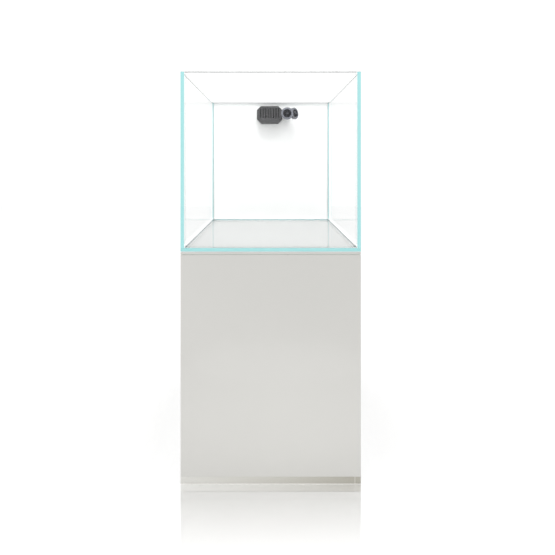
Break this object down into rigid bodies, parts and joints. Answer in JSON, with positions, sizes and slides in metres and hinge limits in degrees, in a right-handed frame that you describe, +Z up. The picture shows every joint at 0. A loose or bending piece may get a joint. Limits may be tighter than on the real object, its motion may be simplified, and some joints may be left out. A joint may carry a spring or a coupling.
{
  "type": "aquarium on stand",
  "caption": "Square rimless glass tank with a slotted weir and swivelling return nozzles, on a plain one-door cabinet that holds the sump and pump.",
  "frame": {"origin": "centre of the square footprint, on the floor", "axes": "+Z up, -Y towards the door and the viewer, +X to the right as seen from the front"},
  "size_m": [0.6, 0.68, 1.374],
  "materials": {
    "lacquered_board": "warm light grey gloss lacquer",
    "low_iron_glass": "clear low-iron glass with pale aqua edges",
    "sump_glass": "clear float glass",
    "clear_silicone": "clear silicone sealant",
    "white_film": "white backing film",
    "levelling_foam": "light grey closed-cell foam",
    "black_acrylic": "black acrylic",
    "charcoal_plastic": "charcoal moulded plastic",
    "black_plastic": "black moulded plastic",
    "nozzle_grey": "blue-grey moulded plastic",
    "nozzle_dark": "dark moulded plastic",
    "pipe_grey": "grey rigid pipe",
    "valve_red": "red moulded plastic",
    "white_plastic": "white moulded plastic",
    "seal_rubber": "black rubber",
    "bumper_rubber": "clear soft bumper",
    "plated_steel": "bright zinc plate",
    "painted_steel": "warm light grey powder coat",
    "felt": "white needle felt"
  },
  "bodies": {
    "stand_and_tank": {"back_panel_screws": "plated_steel", "background_film": "white_film", "bulkhead_gaskets": "seal_rubber", "bulkhead_nuts": "black_plastic", "cabinet_back_panel": "lacquered_board", "cabinet_base_panel": "lacquered_board", "cabinet_side_left": "lacquered_board", "cabinet_side_right": "lacquered_board", "cabinet_top_panel": "lacquered_board", "cam_fittings": "plated_steel", "drain_bulkheads": "black_plastic", "drain_valve_body": "pipe_grey", "emergency_drain_elbows": "pipe_grey", "emergency_drain_pipes": "pipe_grey", "emergency_standpipe": "pipe_grey", "latch_body": "white_plastic", "levelling_mat": "levelling_foam", "overflow_box": "black_acrylic", "pipe_unions": "pipe_grey", "pivot_plate_bottom": "painted_steel", "pivot_plate_top": "painted_steel", "pivot_screws": "plated_steel", "primary_drain_elbows": "pipe_grey", "primary_drain_pipes": "pipe_grey", "primary_standpipe": "pipe_grey", "pump_motor_housing": "charcoal_plastic", "pump_strainer": "charcoal_plastic", "pump_volute": "charcoal_plastic", "return_elbows": "pipe_grey", "return_manifold": "charcoal_plastic", "return_pipes": "pipe_grey", "sock_holder_plate": "black_acrylic", "sump_baffles": "sump_glass", "sump_panes": "sump_glass", "tank_back_pane": "low_iron_glass", "tank_bottom_pane": "low_iron_glass", "tank_bulkheads": "black_plastic", "tank_front_pane": "low_iron_glass", "tank_left_pane": "low_iron_glass", "tank_right_pane": "low_iron_glass", "tank_silicone_seams": "clear_silicone", "weir_backplate": "black_plastic"},
    "door": {"door_panel": "lacquered_board", "door_pivot_bushes": "white_plastic", "door_bumpers": "bumper_rubber", "latch_strike_plate": "plated_steel"},
    "latch_plunger": {"latch_plunger": "white_plastic"},
    "weir_cover": {"weir_cover": "charcoal_plastic"},
    "overflow_lid": {"overflow_lid": "black_acrylic"},
    "nozzle_stem_a": {"nozzle_ball_stem_a": "nozzle_dark"},
    "nozzle_head_a": {"nozzle_head_a": "nozzle_grey", "nozzle_vanes_a": "nozzle_dark"},
    "nozzle_stem_b": {"nozzle_ball_stem_b": "nozzle_dark"},
    "nozzle_head_b": {"nozzle_head_b": "nozzle_grey", "nozzle_vanes_b": "nozzle_dark"},
    "drain_valve_lever": {"drain_valve_ball": "white_plastic", "drain_valve_handle": "valve_red"},
    "filter_sock": {"filter_sock_ring": "white_plastic", "filter_sock_bag": "felt"},
    "pump_impeller": {"pump_impeller": "white_plastic"}
  },
  "joints": [
    {"name": "door_hinge", "type": "hinge", "parent": "stand_and_tank", "child": "door", "pos_m": [-0.292, -0.291, 0.394], "axis": [0, 0, -1], "range_deg": [0, 105]},
    {"name": "latch_plunger_press", "type": "slide", "parent": "stand_and_tank", "child": "latch_plunger", "axis": [0, 1, 0], "range_m": [0, 0.003], "stiffness_N_per_m": 400, "springref_m": -0.008},
    {"name": "weir_cover_lift", "type": "slide", "parent": "stand_and_tank", "child": "weir_cover", "axis": [0, 0, 1], "range_m": [0, 0.1]},
    {"name": "overflow_lid_lift", "type": "slide", "parent": "stand_and_tank", "child": "overflow_lid", "axis": [0, 0, 1], "range_m": [0, 0.06]},
    {"name": "nozzle_a_swivel", "type": "hinge", "parent": "stand_and_tank", "child": "nozzle_stem_a", "pos_m": [0.077, 0.18061, 1.30163], "axis": [0, -0.9986, -0.0523], "range_deg": [-90, 90]},
    {"name": "nozzle_a_tilt", "type": "hinge", "parent": "nozzle_stem_a", "child": "nozzle_head_a", "pos_m": [0.077, 0.18061, 1.30163], "axis": [1, 0, 0], "range_deg": [-12, 12]},
    {"name": "nozzle_b_swivel", "type": "hinge", "parent": "stand_and_tank", "child": "nozzle_stem_b", "pos_m": [0.10373, 0.24157, 1.30875], "axis": [0.7637, -0.6408, 0.0785], "range_deg": [-90, 90]},
    {"name": "nozzle_b_tilt", "type": "hinge", "parent": "nozzle_stem_b", "child": "nozzle_head_b", "pos_m": [0.10373, 0.24157, 1.30875], "axis": [0.6428, 0.766, 0], "range_deg": [-12, 12]},
    {"name": "drain_valve_turn", "type": "hinge", "parent": "stand_and_tank", "child": "drain_valve_lever", "pos_m": [-0.185, 0.2, 0.54], "axis": [0, 1, 0], "range_deg": [0, 90]},
    {"name": "filter_sock_lift", "type": "slide", "parent": "stand_and_tank", "child": "filter_sock", "axis": [0, 0, 1], "range_m": [0, 0.25]},
    {"name": "pump_impeller_spin", "type": "hinge", "parent": "stand_and_tank", "child": "pump_impeller", "pos_m": [0.077, 0.2, 0.095], "axis": [1, 0, 0], "continuous": true}
  ]
}
